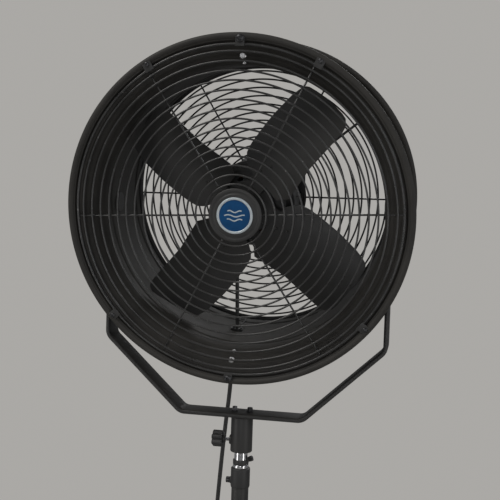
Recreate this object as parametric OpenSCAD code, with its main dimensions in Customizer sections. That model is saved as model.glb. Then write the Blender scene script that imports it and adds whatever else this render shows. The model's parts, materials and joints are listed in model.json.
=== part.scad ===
// Free-standing high-velocity pedestal fan: weighted base, telescopic pole, swivelling
// yoke, tilting drum head with wire guards, motor and four-blade rotor.
// Millimetres, +Z up, the drum blows towards -Y, the origin is under the base centre.

/* [Stand] */
// Outside diameter of the round base
base_dia = 480; // [440:5:520]
// Height of the tilt pivot above the floor
pivot_height = 1300; // [1200:10:1400]
// Outside diameter of the lower pole
pole_dia = 28.6; // [27:0.1:32]
// Outside diameter of the sliding upper tube
tube_dia = 22.2; // [20:0.1:24]
// Length of upper tube kept inside the lower pole
tube_insert = 430; // [400:10:500]

/* [Yoke] */
// Distance from the tilt pivot down to the middle of the bottom bar
yoke_drop = 346.6; // [340:0.1:360]
// Half length of the straight bottom bar
bar_half = 102.6; // [95:0.1:115]
// Distance from the pole axis to the middle of each arm
arm_x = 232.4; // [232.2:0.1:234]
// Height of the upper bend below the tilt pivot
bend_drop = 225; // [215:1:235]
// Width of the flat-oval yoke tube, front to back
yoke_w = 44; // [38:0.5:46]
// Thickness of the flat-oval yoke tube
yoke_t = 7.6; // [7:0.1:7.8]
// Spacing of the two bolts that hold the yoke to the sleeve
yoke_bolt_gap = 25.8; // [20:0.1:26]

/* [Drum] */
// Outside radius of the rolled rims
rim_r = 273; // [271:1:274]
// Inside radius of the drum throat
throat_r = 225; // [224:1:225]
// Sheet thickness of the drum
sheet = 1.2; // [0.8:0.1:2]
// Downward tilt of the head as stored
tilt = 8.7; // [0:0.1:15]

/* [Guards] */
// Radius of the smallest guard ring
ring_r0 = 48.2; // [45:0.1:50]
// Radial pitch of the guard rings
ring_pitch = 14.14; // [12:0.01:16]
// Number of rings in the front guard
front_rings = 15; // [12:1:15]
// Number of rings in the rear guard
rear_rings = 13; // [10:1:13]
// Guard wire diameter
wire_d = 3; // [2.4:0.1:3.4]

/* [Rotor] */
// Tip radius of the blades
blade_r = 216; // [205:1:217]
// Blade pitch angle at the hub
blade_pitch = 23; // [15:1:26]
// Angle of the first blade seen from the front
blade_start = 48.5; // [0:0.5:90]

/* [Cord] */
// Cord diameter
cord_d = 7.5; // [7:0.1:7.6]
// Sides of the cord section
cord_sides = 10; // [8:1:12]

/* [Hidden] */
$fn = 64;
fit = 0.05;
tube_r = tube_dia / 2;
pole_r = pole_dia / 2;
bend_r = 20;
pole_wall = 1.5;
tube_wall = 1.5;
bar_z = pivot_height - yoke_drop;
sleeve_r = 18.2;
liner_r = 14.3;
sleeve_z0 = bar_z - 63;
sleeve_z1 = bar_z - yoke_t / 2;
plug_z0 = sleeve_z1 - 22;
stop_z0 = bar_z - 84.6;
stop_h = 7.6;
stop_lean = 22;
trim_z0 = stop_z0 - 6.3;
collar_z0 = trim_z0 - 33;
pole_top = trim_z0 - 3;
pole_z0 = 14;
socket_z = 34;
thumb_z = bar_z - 45;
collar_knob_z = bar_z - 113.4;
barrel_r = throat_r + sheet;
grille_h = 105;
rear_h = -116;
motor_r = 71.5;
motor_h0 = -104;
motor_h1 = -14;
core_h0 = -79;
core_l = 40;
strut_h = -32;
struts = [[38, 0], [142, 0], [270, -27]];
blade_h = 19;
clip_angles = [61, 121, 220, 320];
hanger_angles = [88.2, 267.4];
guard_turn = 2;
box_x = -62;
box_y = 72;
box_z = -262;
gland_x = -46;
knob_x = -82;
coil_at = [-250, 340];
coil_r = 38;
coil_turns = 5;

black = [0.09, 0.09, 0.095];
soft_black = [0.05, 0.05, 0.055];
steel = [0.72, 0.73, 0.75];
grey = [0.35, 0.36, 0.38];
blue = [0.02, 0.2, 0.5];
copper = [0.7, 0.38, 0.2];

// ---- placing and shaping helpers ----

// Head frame: pivot at the origin, tilted with the drum.
module in_head() {
    translate([0, 0, pivot_height]) rotate([tilt, 0, 0]) children();
}

// Fan frame: x right and y up seen from the front, z forward along the fan axis.
module in_fan() {
    in_head() rotate([90, 0, 0]) children();
}

module tube(r_out, r_in, h) {
    difference() {
        cylinder(r = r_out, h = h);
        translate([0, 0, -1]) cylinder(r = r_in, h = h + 2);
    }
}

module x_rod(r, x0, x1) {
    translate([x0, 0, 0]) rotate([0, 90, 0]) cylinder(r = r, h = x1 - x0);
}

module hex_head(across, h) {
    cylinder(d = across / cos(30), h = h, $fn = 6);
}

module torus(r_mid, r_wire) {
    rotate_extrude() translate([r_mid, 0]) circle(r = r_wire, $fn = 24);
}

// Round knob with lobes, z is the screw axis, the bore goes right through.
module lobed_knob(r, h, lobes, bore) {
    difference() {
        union() {
            cylinder(r = r * 0.78, h = h);
            for (i = [0 : lobes - 1])
                rotate([0, 0, i * 360 / lobes])
                    translate([r * 0.72, 0, 0.6]) cylinder(r = r * 0.28, h = h - 1.2);
        }
        translate([0, 0, -1]) cylinder(r = bore, h = h + 2);
    }
}

module stadium(w, t) {
    square([w - t, t], center = true);
    for (s = [-1, 1]) translate([s * (w - t) / 2, 0]) circle(d = t);
}

// Section of the flat-oval tube, grown a little where a bend laps over the straights.
module oval_section(grow = 0) {
    difference() {
        stadium(yoke_w + grow, yoke_t + grow);
        stadium(yoke_w - 3 - grow, yoke_t - 3 - grow);
    }
}

// Bend of the flat-oval tube in the plane of the yoke, from one angle to another.
module oval_bend(from, to) {
    lap = 0.6;
    rotate([90, 0, 0]) rotate([0, 0, from - 90 - lap]) rotate_extrude(angle = to - from + 2 * lap)
        translate([bend_r, 0]) rotate([0, 0, 90]) oval_section(0.06);
}

// Unit normal of a polyline step in the radius and height plane.
function step_normal(p, q) = [q[1] - p[1], p[0] - q[0]] / norm(q - p);
function bend_normal(p, i) =
    i == 0 ? step_normal(p[0], p[1]) :
    i == len(p) - 1 ? step_normal(p[i - 1], p[i]) :
    (step_normal(p[i - 1], p[i]) + step_normal(p[i], p[i + 1])) /
    (1 + step_normal(p[i - 1], p[i]) * step_normal(p[i], p[i + 1]));
function reverse(p) = [for (i = [len(p) - 1 : -1 : 0]) p[i]];
function sheet_outline(p, t) =
    concat(p, reverse([for (i = [0 : len(p) - 1]) p[i] + t * bend_normal(p, i)]));

// ---- base and lower pole ----

module base_weight() {
    color(grey) difference() {
        union() {
            translate([0, 0, 8]) cylinder(r = base_dia / 2 - 12, h = 10);
            translate([0, 0, 8]) cylinder(r = 52, h = 18);
        }
        translate([0, 0, 12]) cylinder(r = pole_r + fit, h = 20);
        for (a = [45 : 90 : 315])
            rotate([0, 0, a]) translate([36, 0, 14]) cylinder(r = 3, h = 20);
    }
}

module base_cover() {
    edge = base_dia / 2;
    path = [[edge, 3], [edge, 16], [edge - 3, 21], [edge - 9, 24], [120, 28],
            [60, 30], [30, 30.6]];
    color(black) rotate_extrude($fn = 128) polygon(sheet_outline(reverse(path), 1.6));
}

module rubber_feet() {
    color(soft_black) for (a = [30 : 60 : 330])
        rotate([0, 0, a]) translate([base_dia / 2 - 34, 0, 0]) {
            cylinder(r1 = 11, r2 = 13, h = 4);
            translate([0, 0, 4]) cylinder(r = 13, h = 4);
        }
}

module pole_socket() {
    color(black) difference() {
        translate([0, 0, socket_z - 1.6]) union() {
            cylinder(r = 48, h = 5);
            translate([0, 0, 5]) cylinder(r1 = 30, r2 = 20, h = 24);
            translate([0, 0, 29]) cylinder(r = 20, h = 18);
        }
        translate([0, 0, socket_z - 5]) cylinder(r = pole_r + fit, h = 60);
        for (a = [45 : 90 : 315])
            rotate([0, 0, a]) translate([36, 0, socket_z - 5]) cylinder(r = 3, h = 12);
    }
}

module socket_bolts() {
    color(steel) for (a = [45 : 90 : 315])
        rotate([0, 0, a]) translate([36, 0, 0]) {
            translate([0, 0, socket_z + 3.4]) hex_head(10, 4.5);
            translate([0, 0, 14.5]) cylinder(r = 2.95, h = socket_z - 10.6);
        }
}

module lower_pole() {
    color(black) translate([0, 0, pole_z0])
        tube(pole_r, pole_r - pole_wall, pole_top - pole_z0);
}

module pole_bush() {
    color(soft_black) translate([0, 0, pole_top - 45])
        tube(pole_r - pole_wall, tube_r + fit, 45);
}

module pole_collar() {
    color(black) difference() {
        union() {
            translate([0, 0, collar_z0]) cylinder(r = 15.5, h = 2);
            translate([0, 0, collar_z0 + 2]) cylinder(r = 16, h = 31);
            translate([0, 0, collar_knob_z]) x_rod(6, -17.4, -10);
        }
        translate([0, 0, collar_z0 - 1]) cylinder(r = pole_r, h = pole_top - collar_z0 + 1);
        translate([0, 0, pole_top - 5]) cylinder(r = tube_r + 0.4, h = 20);
        translate([0, 0, collar_knob_z]) x_rod(2.6, -20, -8);
    }
}

module trim_ring() {
    color(steel) translate([0, 0, trim_z0]) tube(13.1, tube_r + 0.4, 6);
}

module collar_screw() {
    color(soft_black) translate([0, 0, collar_knob_z]) {
        x_rod(5, -24, -17.8);
        x_rod(2.5, -17.8, -14.8);
    }
}

// ---- sliding upper tube ----

module upper_tube() {
    color(steel) translate([0, 0, trim_z0 - tube_insert])
        tube(tube_r, tube_r - tube_wall, plug_z0 - 1 - trim_z0 + tube_insert);
}

module tube_plug() {
    color(soft_black) translate([0, 0, trim_z0 - tube_insert - 14]) {
        cylinder(r = pole_r - pole_wall - 0.08, h = 14);
        translate([0, 0, 14]) cylinder(r = tube_r - tube_wall, h = 18);
    }
}

module stop_ring() {
    color(black) difference() {
        union() {
            translate([0, 0, stop_z0]) cylinder(r = 13.15, h = stop_h);
            stop_axis() x_rod(4, 11.5, 15.4);
        }
        translate([0, 0, stop_z0 - 1]) cylinder(r = tube_r, h = stop_h + 2);
        stop_axis() x_rod(2.1, 8, 22);
    }
}

// Axis of the stop screw, leaning up out of the ring.
module stop_axis() {
    translate([0, 0, stop_z0 + 3]) rotate([0, -stop_lean, 0]) children();
}

module stop_screw() {
    color(soft_black) stop_axis() {
        x_rod(4.5, 15.8, 21.6);
        x_rod(2, 13.3, 15.8);
    }
}

// ---- swivel sleeve and yoke ----

module sleeve() {
    color(black) difference() {
        union() {
            translate([0, 0, sleeve_z0]) cylinder(r = sleeve_r, h = sleeve_z1 - sleeve_z0);
            translate([0, 0, thumb_z]) x_rod(8, -20, -12);
        }
        translate([0, 0, sleeve_z0 - 1]) cylinder(r = liner_r, h = 80);
        translate([0, 0, thumb_z]) x_rod(3.06, -25, -10);
        for (s = [-1, 1])
            translate([s * yoke_bolt_gap / 2, 0, plug_z0 + 3]) cylinder(r = 3, h = 30);
    }
}

module sleeve_liner() {
    color(soft_black) difference() {
        translate([0, 0, sleeve_z0 + 1]) cylinder(r = liner_r, h = plug_z0 - sleeve_z0 - 1);
        translate([0, 0, sleeve_z0]) cylinder(r = tube_r + fit, h = 60);
        translate([0, 0, thumb_z]) x_rod(3.06, -25, 0);
    }
}

module sleeve_plug() {
    color(grey) difference() {
        translate([0, 0, plug_z0]) cylinder(r = liner_r, h = sleeve_z1 - plug_z0);
        for (s = [-1, 1])
            translate([s * yoke_bolt_gap / 2, 0, plug_z0 + 3]) cylinder(r = 3, h = 30);
    }
}

// One half of the yoke tube, from the middle of the bar to the top of the right arm.
module yoke_half() {
    low = [bar_half, 0, bar_z];
    high = [arm_x, 0, pivot_height - bend_drop];
    run = high - low;
    lean = atan2(run[2], run[0]);
    cut1 = bend_r * tan(lean / 2);
    cut2 = bend_r * tan((90 - lean) / 2);
    translate([-1, 0, bar_z]) rotate([90, 0, 90])
        linear_extrude(bar_half - cut1 + 1) oval_section();
    translate([bar_half - cut1, 0, bar_z + bend_r]) oval_bend(0, lean);
    translate(low + cut1 * run / norm(run)) rotate([0, -lean, 0]) rotate([90, 0, 90])
        linear_extrude(norm(run) - cut1 - cut2) oval_section();
    translate([arm_x - bend_r, 0, high[2] + cut2]) oval_bend(lean, 90);
    translate([arm_x, 0, high[2] + cut2]) rotate([0, 0, 90])
        linear_extrude(bend_drop - cut2 + 16) oval_section();
}

module yoke() {
    color(black) difference() {
        union() {
            yoke_half();
            mirror([1, 0, 0]) yoke_half();
        }
        for (s = [-1, 1])
            translate([s * yoke_bolt_gap / 2, 0, bar_z - 10]) cylinder(r = 3.1, h = 20);
        translate([0, 0, pivot_height]) x_rod(4.08, -arm_x - 8, -arm_x + 8);
        translate([0, 0, pivot_height]) x_rod(4.08, arm_x - 8, arm_x + 8);
    }
}

module yoke_caps() {
    color(soft_black) for (s = [-1, 1])
        translate([s * arm_x, 0, pivot_height + 10]) rotate([0, 0, 90]) {
            linear_extrude(6) stadium(yoke_w - 3, yoke_t - 3);
            translate([0, 0, 6]) linear_extrude(2) stadium(yoke_w - 0.6, yoke_t - 0.6);
        }
}

module yoke_bolts() {
    color(soft_black) for (s = [-1, 1])
        translate([s * yoke_bolt_gap / 2, 0, 0]) {
            translate([0, 0, bar_z + yoke_t / 2]) {
                cylinder(r = 5.3, h = 1);
                translate([0, 0, 1]) cylinder(r = 4.35, h = 6.6);
            }
            translate([0, 0, plug_z0 + 4]) cylinder(r = 2.95, h = bar_z + 5 - plug_z0 - 4);
        }
}

module pivot_washers() {
    color(soft_black) translate([0, 0, pivot_height]) for (s = [0, 1])
        mirror([s, 0, 0]) difference() {
            x_rod(11, arm_x - yoke_t / 2 - 1, arm_x - yoke_t / 2);
            x_rod(4.08, arm_x - 8, arm_x);
        }
}

module sleeve_knob() {
    color(soft_black) translate([-27.5, 0, thumb_z]) rotate([0, -90, 0]) {
        cylinder(r = 7, h = 4);
        translate([0, 0, 4]) lobed_knob(14, 17.5, 6, 2.95);
    }
}

module sleeve_stud() {
    color(steel) translate([0, 0, thumb_z]) x_rod(2.98, -47, -11.6);
}

// ---- drum and pivots ----

module drum() {
    front = [[266.5, 104], [261.5, 104], [259.8, 98.5], [252.5, 96.5], [249.5, 90.5],
             [242.5, 87], [240, 81], [235, 77], [232, 70.5], [229, 66],
             [226.4, 59], [throat_r, 50]];
    barrel = [[throat_r, 42], [throat_r + 1.6, 39], [throat_r + 1.6, 35], [throat_r, 32],
              [throat_r, -78], [throat_r + 1.6, -81], [throat_r + 1.6, -85],
              [throat_r, -88], [throat_r, -106]];
    rear = [[throat_r + 2.4, -112], [throat_r + 8, -114.4], [264, -114.4]];
    color(black) difference() {
        in_fan() {
            rotate_extrude($fn = 160) polygon(sheet_outline(concat(front, barrel, rear), -sheet));
            torus_rim(102.2, rim_r - 5);
            torus_rim(-110.6, rim_r - 7.5);
        }
        in_head() for (s = [0, 1]) mirror([s, 0, 0]) x_rod(4.1, 220, 240);
    }
}

// Rolled wire edge of the drum at height h along the fan axis.
module torus_rim(h, r) {
    translate([0, 0, h]) rotate_extrude($fn = 160)
        translate([r, 0]) circle(r = 5, $fn = 32);
}

// Stud welded to a doubler pad on each side of the barrel.
module pivot_studs() {
    color(steel) in_head() for (s = [0, 1]) mirror([s, 0, 0]) difference() {
        union() {
            x_rod(16, barrel_r - 4.4, barrel_r + 0.8);
            x_rod(4, barrel_r - 4.4, arm_x + 24);
        }
        rotate([90, 0, 0]) translate([0, 0, -60]) cylinder(r = throat_r - 3, h = 120);
    }
}

module tilt_knob(side) {
    color(soft_black) in_head() rotate([0, side * 90, 0])
        translate([0, 0, arm_x + yoke_t / 2 + 0.4]) {
            tube(9, 4 + fit, 4);
            translate([0, 0, 4]) lobed_knob(20, 15, 6, 4 + fit);
        }
}

module tilt_knob_left() {
    tilt_knob(-1);
}

module tilt_knob_right() {
    tilt_knob(1);
}

// ---- front guard ----

module front_rings() {
    color(black) in_fan() {
        for (k = [0 : front_rings - 1])
            translate([0, 0, grille_h]) torus(ring_r0 + k * ring_pitch, wire_d / 2);
        translate([0, 0, grille_h - 1.4]) torus(256, 2);
    }
}

module front_spokes() {
    color(black) in_fan() for (a = [0 : 60 : 300])
        rotate([0, 0, a + guard_turn]) translate([0, 0, grille_h - wire_d + 0.1])
            x_rod(wire_d / 2, 34, 255.5);
}

module guard_plate() {
    color(black) in_fan() translate([0, 0, grille_h - 0.4]) rotate_extrude($fn = 96)
        polygon([[0, 0], [41, 0], [42, 1], [41, 2.2], [37.5, 2.6], [36, 1.8], [34, 1.8],
                 [32.5, 2.8], [0, 3]]);
}

module badge_bezel() {
    color(steel) in_fan() translate([0, 0, grille_h + 2.4]) rotate_extrude($fn = 96)
        polygon([[24.4, 0], [28.4, 0], [28.4, 1.2], [27.6, 2.2], [25.4, 2.2], [24.4, 1.5]]);
}

module badge_disc() {
    color(blue) in_fan() translate([0, 0, grille_h + 2.5]) cylinder(r = 24.4, h = 1.2);
}

module guard_clips() {
    color(black) in_fan() for (a = concat(clip_angles, hanger_angles))
        rotate([0, 0, a]) difference() {
            union() {
                translate([253, -7, grille_h + 0.7]) cube([14, 14, 1.5]);
                translate([261.5, -7, grille_h - 1]) cube([5.5, 14, 2.5]);
            }
            translate([264, 0, grille_h - 6]) cylinder(r = 2, h = 12);
        }
}

module clip_screws() {
    color(steel) in_fan() for (a = clip_angles)
        rotate([0, 0, a]) translate([264, 0, grille_h + 2.2]) {
            cylinder(r1 = 4.2, r2 = 3, h = 2.4);
            translate([0, 0, -8]) cylinder(r = 1.95, h = 8.5);
        }
}

// Through bolts at the top and bottom of the rim, with two smaller ones down the flare.
module hanger_bolts() {
    color(steel) in_fan() for (a = hanger_angles) rotate([0, 0, a]) {
        translate([264, 0, grille_h + 2.2]) {
            cylinder(r1 = 6.4, r2 = 4.4, h = 3.4);
            translate([0, 0, -8]) cylinder(r = 1.95, h = 8.5);
        }
        translate([239.8, 0, grille_h - 22]) cylinder(r1 = 5, r2 = 4, h = 4);
        translate([239.8, 0, grille_h - 36]) cylinder(r = 2, h = 15);
        translate([229.5, 0, grille_h - 42]) cylinder(r = 3, h = 7.6);
    }
}

// ---- rear guard ----

module rear_frame() {
    color(black) in_fan() translate([0, 0, rear_h - 1.3]) difference() {
        tube(262, 221.5, 1.6);
        for (a = [15 : 45 : 330])
            rotate([0, 0, a]) translate([250, 0, -1]) cylinder(r = 2, h = 4);
    }
}

module rear_spokes() {
    color(black) in_fan() for (a = [0 : 60 : 300])
        rotate([0, 0, a]) translate([0, 0, rear_h - 2.7]) x_rod(wire_d / 2, 36, 236);
}

module rear_rings() {
    color(black) in_fan() for (k = [0 : rear_rings - 1])
        translate([0, 0, rear_h - 5.6]) torus(ring_r0 + k * ring_pitch, wire_d / 2);
}

module rear_plate() {
    color(black) in_fan() translate([0, 0, rear_h - 5.4]) cylinder(r = 42, h = 1.6);
}

module rear_screws() {
    color(steel) in_fan() for (a = [15 : 45 : 330])
        rotate([0, 0, a]) translate([250, 0, rear_h - 3.6]) {
            cylinder(r1 = 2.8, r2 = 4, h = 2.3);
            translate([0, 0, 2.3]) cylinder(r = 1.9, h = 6);
        }
}

// ---- motor and its struts ----

// Flat bar from the motor to the barrel, side is its distance from the radius.
module strut(side) {
    reach = sqrt(pow(throat_r - 0.8, 2) - pow(abs(side) + 2, 2));
    difference() {
        union() {
            translate([40, side - 2, strut_h - 6]) cube([reach - 40, 4, 12]);
            intersection() {
                translate([throat_r - 20, side - 10, strut_h - 6]) cube([30, 20, 12]);
                translate([0, 0, strut_h - 30]) tube(throat_r, throat_r - 3, 60);
            }
        }
        translate([0, 0, strut_h - 30]) cylinder(r = motor_r, h = 60);
        strut_screws(side) x_rod(2, throat_r - 20, throat_r + 5);
    }
}

// The two screw places of a strut foot.
module strut_screws(side) {
    for (s = [-6.5, 6.5])
        rotate([0, 0, asin((side + s) / throat_r)]) translate([0, 0, strut_h]) children();
}

module motor_struts() {
    color(black) in_fan() for (p = struts) rotate([0, 0, p[0]]) strut(p[1]);
}

module strut_bolts() {
    color(steel) in_fan() for (p = struts) rotate([0, 0, p[0]]) strut_screws(p[1]) {
        x_rod(1.95, throat_r - 5, barrel_r + 0.5);
        x_rod(3.6, barrel_r - 0.4, barrel_r + 2.4);
    }
}

module motor_shell() {
    color(black) in_fan() translate([0, 0, motor_h0 + 14]) {
        tube(motor_r, motor_r - 3, motor_h1 - motor_h0 - 28);
        for (a = [8 : 20 : 348])
            rotate([0, 0, a]) translate([motor_r - 1, -1, 4]) cube([3.4, 2, 34]);
    }
}

module motor_bell(bore) {
    difference() {
        rotate_extrude($fn = 96)
            polygon([[motor_r - 2.9, -3], [motor_r, -3], [motor_r, 0], [motor_r - 3, 7],
                     [motor_r - 12, 12], [30, 14], [26, 17], [bore, 17], [bore, 14],
                     [14, 14], [14, 3], [bore, 3], [bore, 0], [18, 0], [18, 11],
                     [28, 10.8], [motor_r - 14, 8.8], [motor_r - 6, 4.4], [motor_r - 2.9, 0]]);
        for (a = [0 : 45 : 315])
            rotate([0, 0, a + 22.5]) translate([44, 0, -2]) cylinder(r = 5, h = 20);
        for (a = [0 : 90 : 270])
            rotate([0, 0, a + 45]) translate([62, 0, -5]) cylinder(r = 2.5, h = 24);
    }
}

module motor_front_bell() {
    color(black) in_fan() translate([0, 0, motor_h1 - 14]) motor_bell(9);
}

module motor_rear_bell() {
    color(black) in_fan() translate([0, 0, motor_h0 + 14]) mirror([0, 0, 1]) motor_bell(9);
}

// Mounting plate on the back of the motor.
module motor_plate() {
    color(black) in_fan() translate([0, 0, motor_h0 - 3]) difference() {
        linear_extrude(3) offset(r = 14) square([128, 82], center = true);
        translate([0, 0, -1]) cylinder(r = 26.4, h = 5);
        for (a = [45 : 90 : 315])
            rotate([0, 0, a]) translate([62, 0, -1]) cylinder(r = 2.5, h = 5);
    }
}

module motor_bolts() {
    color(steel) in_fan() for (a = [45 : 90 : 315]) rotate([0, 0, a]) translate([62, 0, 0]) {
        translate([0, 0, motor_h0 - 5]) cylinder(r = 2.45, h = motor_h1 - motor_h0 + 5);
        translate([0, 0, motor_h1 - 3.4]) cylinder(r = 4.4, h = 3.8);
        translate([0, 0, motor_h0 - 7]) hex_head(8, 4);
    }
}

module stator_core() {
    color(grey) in_fan() translate([0, 0, core_h0]) difference() {
        tube(motor_r - 3, 38, core_l);
        for (a = [0 : 30 : 330])
            rotate([0, 0, a]) translate([47, 0, -1]) cylinder(r = 5, h = core_l + 2);
        for (a = [45 : 90 : 315])
            rotate([0, 0, a]) translate([62, 0, -1]) cylinder(r = 2.6, h = core_l + 2);
    }
}

module stator_coils() {
    color(copper) in_fan() for (h = [core_h0 - 4.2, core_h0 + core_l + 4.2])
        translate([0, 0, h]) rotate_extrude() translate([48, 0]) circle(r = 4.4, $fn = 24);
}

module bearings() {
    color(steel) in_fan() for (h = [motor_h0 + 2.8, motor_h1 - 10.8])
        translate([0, 0, h]) tube(14, 6 + fit, 8);
}

// ---- switch box under the barrel ----

module switch_box() {
    color(soft_black) in_head() difference() {
        translate([box_x - 38, box_y - 26, box_z]) cube([76, 52, 56]);
        translate([box_x - 35.5, box_y - 23.5, box_z - 1]) cube([71, 47, 60]);
        rotate([90, 0, 0]) translate([0, 0, -200]) cylinder(r = barrel_r + 0.1, h = 400);
    }
}

module switch_lid() {
    color(soft_black) in_head() difference() {
        translate([box_x - 38, box_y - 26, box_z - 2.5]) cube([76, 52, 2.5]);
        translate([gland_x, box_y, box_z - 5]) cylinder(r = 6, h = 10);
        translate([knob_x, box_y, box_z - 5]) cylinder(r = 5, h = 10);
    }
}

module switch_body() {
    color(grey) in_head() translate([knob_x, box_y, box_z - 6]) {
        cylinder(r = 3, h = 8);
        translate([0, 0, 3.5]) cylinder(r = 4.9, h = 3);
        translate([-12, -12, 6.2]) cube([24, 24, 18]);
    }
}

module speed_knob() {
    color(soft_black) in_head() translate([knob_x, box_y, box_z - 19]) difference() {
        union() {
            cylinder(r1 = 14, r2 = 16, h = 13);
            translate([-2.5, -17.5, 1]) cube([5, 35, 11]);
        }
        translate([0, 0, 5]) cylinder(r = 3 + fit, h = 10);
    }
}

module cord_gland() {
    color(soft_black) in_head() translate([gland_x, box_y, box_z - 2.5]) difference() {
        union() {
            translate([0, 0, -3]) cylinder(r = 9, h = 3);
            translate([0, 0, 0]) cylinder(r = 5.9, h = 4);
            translate([0, 0, -33]) cylinder(r1 = 5.2, r2 = 7.2, h = 30);
        }
        translate([0, 0, -40]) cylinder(r = cord_d / 2 + 0.3, h = 50);
    }
}

// ---- rotor ----

module motor_shaft() {
    color(steel) in_fan() translate([0, 0, motor_h0 + 4]) cylinder(r = 6, h = 26 - motor_h0);
}

module rotor_core() {
    color(grey) in_fan() translate([0, 0, core_h0 + 2]) tube(37.4, 6, core_l - 4);
}

// Places things in the frame of a blade sheet: z square to the sheet, forward.
module on_blade() {
    translate([0, 0, blade_h]) rotate([-blade_pitch, 0, 0]) children();
}

module blade_hub() {
    color(black) in_fan() difference() {
        union() {
            translate([0, 0, -6]) cylinder(r = 16, h = 32);
            translate([0, 0, 8]) cylinder(r = 43, h = 3);
            for (a = [0 : 90 : 270]) rotate([0, 0, a + blade_start])
                on_blade() translate([30, -1, -4.4]) cube([54, 34, 3.1]);
        }
        translate([0, 0, -10]) cylinder(r = 6, h = 50);
    }
}

// Cambered paddle, x along the radius, y towards the trailing edge, z forward.
module blade() {
    camber = 170;
    intersection() {
        on_blade() translate([0, 16, camber]) rotate([90, 0, 90])
            linear_extrude(blade_r + 4) difference() {
                circle(r = camber + 1.6, $fn = 180);
                circle(r = camber, $fn = 180);
                translate([-200, 0]) square([400, 400]);
            }
        translate([0, 0, -60]) linear_extrude(160) intersection() {
            polygon([[46, -29], [64, -42.5], [100, -37.5], [120, -34.5], [195, -34.5], [206, -31.5],
                     [blade_r + 2, -20], [blade_r + 2, 45], [210, 57], [200, 63],
                     [180, 67], [140, 69], [110, 68], [80, 65], [60, 60], [46, 40]]);
            circle(r = blade_r, $fn = 180);
        }
    }
}

module fan_blades() {
    color(black) in_fan() for (a = [0 : 90 : 270]) rotate([0, 0, a + blade_start]) blade();
}

module blade_rivets() {
    color(steel) in_fan() for (a = [0 : 90 : 270]) rotate([0, 0, a + blade_start])
        for (p = [[58, 7], [58, 25], [75, 16]])
            on_blade() translate([p[0], p[1], -5.4]) cylinder(r = 2.5, h = 7);
}

// ---- cord ----

// Centre line of the free cord, from the gland down to the coil.
cord_route = [
    [-46, 116.4, 1015.6], [-46.8, 119, 1000], [-48.5, 121.5, 980], [-51, 123, 950],
    [-56, 124, 900], [-62, 125, 830], [-70, 129, 720], [-77, 139, 600],
    [-87, 157, 460], [-101, 185, 320], [-118, 218, 200], [-132, 250, 110],
    [-146, 276, 54], [-165, 302, 20], [-187, 328, 6.5], [-205, 348, 4.1],
    [-223, 367, 4]
];

module cord_tube() {
    color(soft_black) sweep(cord_route, cord_d / 2, cord_sides);
}

function unit(v) = v / norm(v);
function tangent(p, i) =
    i == 0 ? unit(p[1] - p[0]) :
    i == len(p) - 1 ? unit(p[i] - p[i - 1]) : unit(p[i + 1] - p[i - 1]);
function side_dir(t) = unit(cross(t, [0.3, 0.95, 0.05]));

// Points on a smooth curve through p, n steps per span.
function spline(p, n) = [
    for (i = [0 : len(p) - 2])
        for (j = [0 : i == len(p) - 2 ? n : n - 1])
            let (
                a = p[max(i - 1, 0)],
                b = p[i],
                c = p[i + 1],
                d = p[min(i + 2, len(p) - 1)],
                u = j / n
            )
            0.5 * (2 * b + (c - a) * u + (2 * a - 5 * b + 4 * c - d) * u * u +
                   (3 * b - a - 3 * c + d) * u * u * u)
];

module sweep(route, r, sides) {
    line = spline(route, 5);
    n = len(line);
    rings = [
        for (i = [0 : n - 1])
            let (t = tangent(line, i), s = side_dir(t), u = cross(s, t))
            for (k = [0 : sides - 1])
                line[i] + r * (cos(k * 360 / sides) * s + sin(k * 360 / sides) * u)
    ];
    walls = [
        for (i = [0 : n - 2])
            for (k = [0 : sides - 1])
                let (m = (k + 1) % sides)
                [i * sides + k, i * sides + m, (i + 1) * sides + m, (i + 1) * sides + k]
    ];
    start = [for (k = [0 : sides - 1]) sides - 1 - k];
    end = [for (k = [0 : sides - 1]) (n - 1) * sides + k];
    polyhedron(points = rings, faces = concat(walls, [start, end]));
}

module cord_coil() {
    color(soft_black) translate([coil_at[0], coil_at[1], cord_d / 2])
        for (k = [0 : coil_turns - 1])
            translate([0, 0, (k % 3) * (cord_d - 0.3)])
                torus(coil_r + (k > 2 ? cord_d - 0.3 : 0), cord_d / 2);
}

module cord_tie() {
    color(grey) translate([coil_at[0], coil_at[1] - coil_r - cord_d / 2 + 0.1, 0]) difference() {
        translate([-5, -9.7, 0]) cube([10, 19.4, 24.4]);
        translate([-6, -8, -1]) cube([12, 16, 23.6]);
    }
}

module at_plug() {
    translate([coil_at[0] - 68, coil_at[1] + 43, 12]) children();
}

module plug_body() {
    color(soft_black) at_plug() {
        x_rod(5.6, 12, 36);
        translate([-20, -11, -12]) cube([34, 22, 24]);
    }
}

module plug_pins() {
    color(steel) at_plug() {
        for (s = [-1, 1]) translate([-37, s * 6.35 - 0.75, -1.2]) cube([19, 1.5, 6.4]);
        translate([0, 0, -7]) x_rod(2.4, -41, -18);
    }
}

base_weight();
base_cover();
rubber_feet();
pole_socket();
socket_bolts();
lower_pole();
pole_bush();
pole_collar();
trim_ring();
collar_screw();
upper_tube();
tube_plug();
stop_ring();
stop_screw();
sleeve();
sleeve_liner();
sleeve_plug();
yoke();
yoke_caps();
yoke_bolts();
pivot_washers();
sleeve_knob();
sleeve_stud();
drum();
pivot_studs();
tilt_knob_left();
tilt_knob_right();
front_rings();
front_spokes();
guard_plate();
badge_bezel();
badge_disc();
guard_clips();
clip_screws();
hanger_bolts();
rear_frame();
rear_spokes();
rear_rings();
rear_plate();
rear_screws();
motor_struts();
strut_bolts();
motor_shell();
motor_front_bell();
motor_rear_bell();
motor_plate();
motor_bolts();
stator_core();
stator_coils();
bearings();
switch_box();
switch_lid();
switch_body();
speed_knob();
cord_gland();
motor_shaft();
rotor_core();
blade_hub();
fan_blades();
blade_rivets();
cord_tube();
cord_coil();
cord_tie();
plug_body();
plug_pins();
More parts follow.
